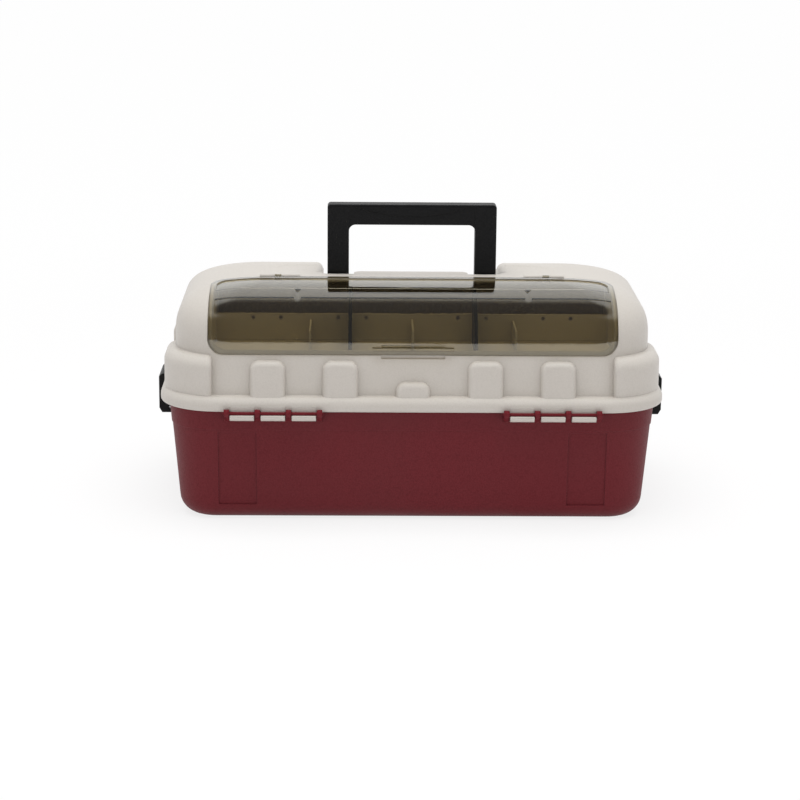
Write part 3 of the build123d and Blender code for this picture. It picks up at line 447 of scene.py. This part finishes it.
def drawn_steel(look):
    """Bright wire with fine draw marks along it."""
    finish = new_finish("drawn_steel")
    marks = finish.noise(finish.place(), look.mark_size, stretch=MARK_STRETCH)
    sockets = {
        "Base Color": finish.blend(marks, rgba(look.dark), rgba(look.light)),
        "Metallic": 1.0,
        "Roughness": look.roughness + MARK_ROUGHNESS * (marks - MIDDLE_LEVEL),
        "Normal": finish.bump(marks, look.mark_depth, finish.soft_normal(look.edge_radius)),
    }
    return finish.surface(finish.add("ShaderNodeBsdfPrincipled", {}, sockets))


# Stage


def seen_directly(finish):
    """Share that is 1 for what the camera, a gloss or clear plastic shows, and 0 for falling light."""
    camera = finish.add("ShaderNodeLightPath", output="Is Camera Ray")
    glossy = finish.add("ShaderNodeLightPath", output="Is Glossy Ray")
    clear = finish.add("ShaderNodeLightPath", output="Is Transmission Ray")
    return finish.add("ShaderNodeClamp", {}, {"Value": camera + glossy + clear})


def floor_finish(look):
    """Pale floor that shows almost white and still takes the shadow."""
    finish = new_finish("studio_floor")
    place = finish.place()
    tone = finish.noise(place, look.floor_blotch, detail=COARSE_DETAIL)
    shade = finish.blend(tone, rgba(look.floor_light), rgba(look.floor_dark))
    sockets = {"Base Color": shade, "Roughness": FLOOR_ROUGHNESS, "Specular IOR Level": 0.0}
    matt = finish.add("ShaderNodeBsdfPrincipled", {}, sockets)
    glow = finish.add("ShaderNodeEmission", {}, {"Color": WHITE, "Strength": 1.0})
    distance = finish.add("ShaderNodeVectorMath", {"operation": "LENGTH"}, {0: place}, output="Value")
    far = finish.rise(distance, look.near_floor, FAR_FLOOR_RATIO * look.near_floor)
    share_white = seen_directly(finish) * (look.floor_glow + far * (look.far_glow - look.floor_glow))
    return finish.surface(finish.add("ShaderNodeMixShader", {}, {0: share_white, 1: matt, 2: glow}))


def room_light(look):
    """White sweep behind and beside the box, with a dim room overhead and behind the camera."""
    world = bpy.data.worlds.new("studio_room")
    finish = Finish(world)
    falls = finish.add("ShaderNodeBackground", {}, {"Color": WHITE, "Strength": look.sky})
    direction = finish.add("ShaderNodeTexCoord", output="Generated")
    overhead = finish.rise(finish.along(direction, "Z"), *OVERHEAD_LIMITS)
    front = finish.rise(0 - finish.along(direction, "Y"), *FRONT_LIMITS)
    dim = finish.add("ShaderNodeMath", {"operation": "MAXIMUM"}, {0: overhead, 1: front})
    bright_side = finish.add("ShaderNodeBackground", {}, {"Color": WHITE, "Strength": 1.0})
    dim_side = finish.add("ShaderNodeBackground", {}, {"Color": rgba(look.dim_room), "Strength": 1.0})
    shows = finish.add("ShaderNodeMixShader", {}, {0: dim, 1: bright_side, 2: dim_side})
    finish.surface(finish.add("ShaderNodeMixShader", {}, {0: seen_directly(finish), 1: falls, 2: shows}))
    bpy.context.scene.world = world


def studio_floor(look):
    """Flat floor under the box."""
    bpy.ops.mesh.primitive_plane_add(size=look.floor_size)
    floor = bpy.context.object
    floor.name = "studio_floor"
    floor.data.materials.append(floor_finish(look))


def top_lamp(look):
    """Wide soft lamp over the box."""
    lamp = bpy.data.lights.new("top_lamp", "AREA")
    lamp.energy = look.lamp_power
    lamp.size = look.lamp_size
    holder = bpy.data.objects.new("top_lamp", lamp)
    holder.location = (0.0, -look.lamp_forward, look.lamp_height)
    down = Vector((0.0, look.lamp_forward, -look.lamp_height))
    holder.rotation_euler = down.to_track_quat("-Z", "Y").to_euler()
    holder.visible_glossy = False
    holder.visible_transmission = False
    bpy.context.scene.collection.objects.link(holder)


def photo_camera(look):
    """Camera on the hinge side, a little from above."""
    lens = bpy.data.cameras.new("photo_camera")
    lens.sensor_width = SENSOR_WIDTH
    lens.lens = look.lens
    holder = bpy.data.objects.new("photo_camera", lens)
    turn = Matrix.Rotation(-look.yaw, 4, "Z")
    stand = Matrix.Translation((look.camera_aside, -look.camera_distance, look.camera_height))
    tilt = Matrix.Rotation(math.pi / 2 - look.pitch, 4, "X") @ Matrix.Rotation(look.roll, 4, "Z")
    holder.matrix_world = turn @ stand @ tilt
    bpy.context.scene.collection.objects.link(holder)
    bpy.context.scene.camera = holder


# Operators


class TACKLE_OT_tub(bpy.types.Operator):
    """Give the tub and its hinge rods their burgundy plastic"""

    bl_idname = "tackle.tub"
    bl_label = "Tub"

    def execute(self, context):
        look = context.scene.tackle_box.tub
        dress(TUB_NODES, moulded_plastic("burgundy_plastic", look, look.light, look.dark))
        return {"FINISHED"}


class TACKLE_OT_lid(bpy.types.Operator):
    """Give the lid and the low bay dividers their cream plastic"""

    bl_idname = "tackle.lid"
    bl_label = "Lid"

    def execute(self, context):
        look = context.scene.tackle_box.lid
        dress(("lid_shell",), moulded_plastic("lid_plastic", look, look.light, look.dark, bay_painted_shade))
        dress(("bay_dividers_low",), moulded_plastic("cream_plastic", look, look.light, look.dark))
        return {"FINISHED"}


class TACKLE_OT_window(bpy.types.Operator):
    """Give the window cover its smoky clear plastic"""

    bl_idname = "tackle.window"
    bl_label = "Window cover"

    def execute(self, context):
        dress(("window_cover",), smoky_clear(context.scene.tackle_box.window))
        return {"FINISHED"}


class TACKLE_OT_black(bpy.types.Operator):
    """Give the handle, the latches, the tall dividers and the tray links their black plastic"""

    bl_idname = "tackle.black"
    bl_label = "Black pieces"

    def execute(self, context):
        look = context.scene.tackle_box.black
        black = moulded_plastic("black_plastic", look, look.light, look.dark)
        dress(("carry_handle", "bay_dividers_tall", *LATCH_NODES, *LINK_NODES), black)
        return {"FINISHED"}


class TACKLE_OT_trays(bpy.types.Operator):
    """Give the trays and their dividers their plastic"""

    bl_idname = "tackle.trays"
    bl_label = "Trays"

    def execute(self, context):
        look = context.scene.tackle_box.trays
        dress(TRAY_NODES, moulded_plastic("tray_plastic", look, look.light, look.dark))
        divider = moulded_plastic("divider_plastic", look, look.divider_light, look.divider_dark)
        dress(TRAY_DIVIDER_NODES, divider)
        return {"FINISHED"}


class TACKLE_OT_steel(bpy.types.Operator):
    """Give the pins and screws their drawn steel"""

    bl_idname = "tackle.steel"
    bl_label = "Pins and screws"

    def execute(self, context):
        dress(STEEL_NODES, drawn_steel(context.scene.tackle_box.steel))
        return {"FINISHED"}


class TACKLE_OT_stage(bpy.types.Operator):
    """Set up the floor, the room's light and the camera"""

    bl_idname = "tackle.stage"
    bl_label = "Stage"

    def execute(self, context):
        look = context.scene.tackle_box.stage
        context.scene.view_settings.view_transform = "Standard"
        room_light(look)
        studio_floor(look)
        top_lamp(look)
        photo_camera(look)
        return {"FINISHED"}


OPERATORS = (
    TACKLE_OT_tub,
    TACKLE_OT_lid,
    TACKLE_OT_window,
    TACKLE_OT_black,
    TACKLE_OT_trays,
    TACKLE_OT_steel,
    TACKLE_OT_stage,
)


class TACKLE_PT_sidebar(bpy.types.Panel):
    """Lists the steps"""

    bl_idname = "TACKLE_PT_sidebar"
    bl_label = "Tackle Box"
    bl_space_type = "VIEW_3D"
    bl_region_type = "UI"
    bl_category = "Tackle Box"

    def draw(self, context):
        for operator in OPERATORS:
            self.layout.operator(operator.bl_idname)


CLASSES = (
    TACKLE_PG_tub,
    TACKLE_PG_lid,
    TACKLE_PG_black,
    TACKLE_PG_trays,
    TACKLE_PG_window,
    TACKLE_PG_steel,
    TACKLE_PG_stage,
    TACKLE_PG_settings,
    *OPERATORS,
    TACKLE_PT_sidebar,
)


def register():
    """Adds the classes and the settings."""
    for item in CLASSES:
        bpy.utils.register_class(item)
    bpy.types.Scene.tackle_box = PointerProperty(type=TACKLE_PG_settings)


def unregister():
    """Takes the settings and the classes away again."""
    del bpy.types.Scene.tackle_box
    for item in reversed(CLASSES):
        bpy.utils.unregister_class(item)


def main():
    """Runs every step."""
    register()
    bpy.ops.tackle.tub()
    bpy.ops.tackle.lid()
    bpy.ops.tackle.window()
    bpy.ops.tackle.black()
    bpy.ops.tackle.trays()
    bpy.ops.tackle.steel()
    bpy.ops.tackle.stage()


if __name__ == "__main__":
    main()
